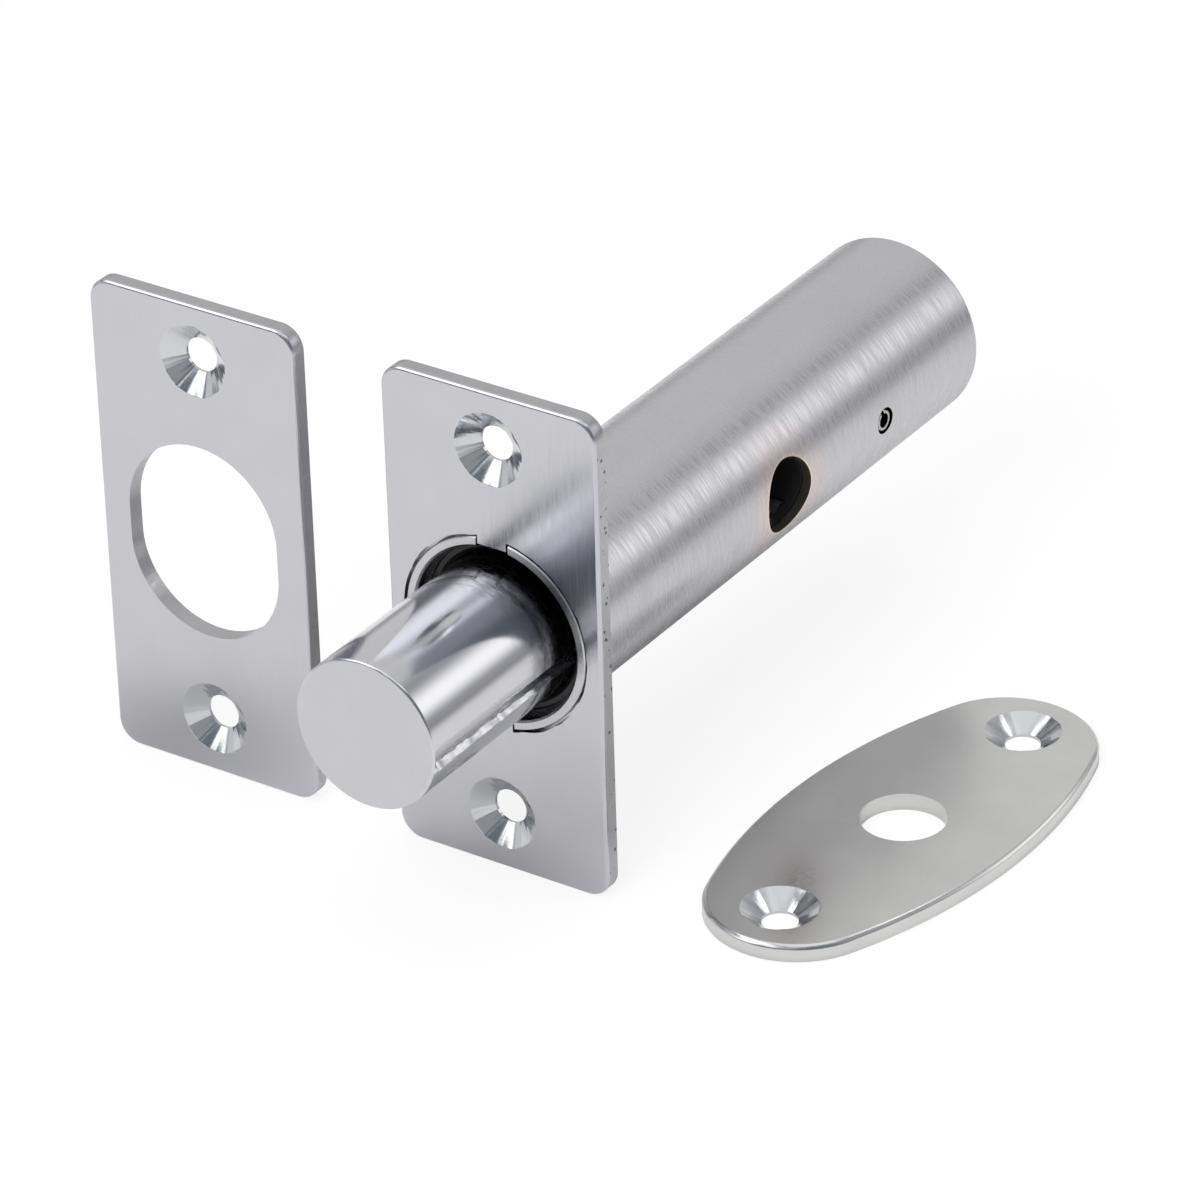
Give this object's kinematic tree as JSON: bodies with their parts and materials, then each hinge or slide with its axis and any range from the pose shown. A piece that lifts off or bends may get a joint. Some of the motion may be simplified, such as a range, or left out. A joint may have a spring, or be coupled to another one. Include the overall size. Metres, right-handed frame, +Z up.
{
  "type": "rack bolt",
  "caption": "Round key-driven rack bolt in a tubular barrel with a staked faceplate, its keep plate with an oval opening and an oval key escutcheon.",
  "frame": {"origin": "on the bolt's axis, level with the back of the faceplate", "axes": "+Z up along the faceplate's height, -Y the way the bolt is thrown, +X the side that the key enters"},
  "size_m": [0.0732, 0.0777, 0.043],
  "materials": {
    "satin_plate": "satin chrome on steel, finely brushed the long way",
    "satin_barrel": "satin chrome on steel tube, brushed round the tube",
    "bright_bolt": "bright chrome on turned steel",
    "satin_escutcheon": "satin chrome on steel, tumbled",
    "black_moulding": "black moulded acetal",
    "spring_steel": "plain spring steel"
  },
  "bodies": {
    "case_and_plates": {"faceplate": "satin_plate", "barrel": "satin_barrel", "guide_liner": "black_moulding", "spring_pin": "spring_steel", "leaf_spring": "spring_steel", "rear_cap": "black_moulding", "keep_plate": "satin_plate", "key_escutcheon": "satin_escutcheon"},
    "bolt_body": {"bolt": "bright_bolt"}
  },
  "joints": [
    {"name": "bolt_slide", "type": "slide", "parent": "case_and_plates", "child": "bolt_body", "axis": [0, 1, 0], "range_m": [0, 0.01775]}
  ]
}
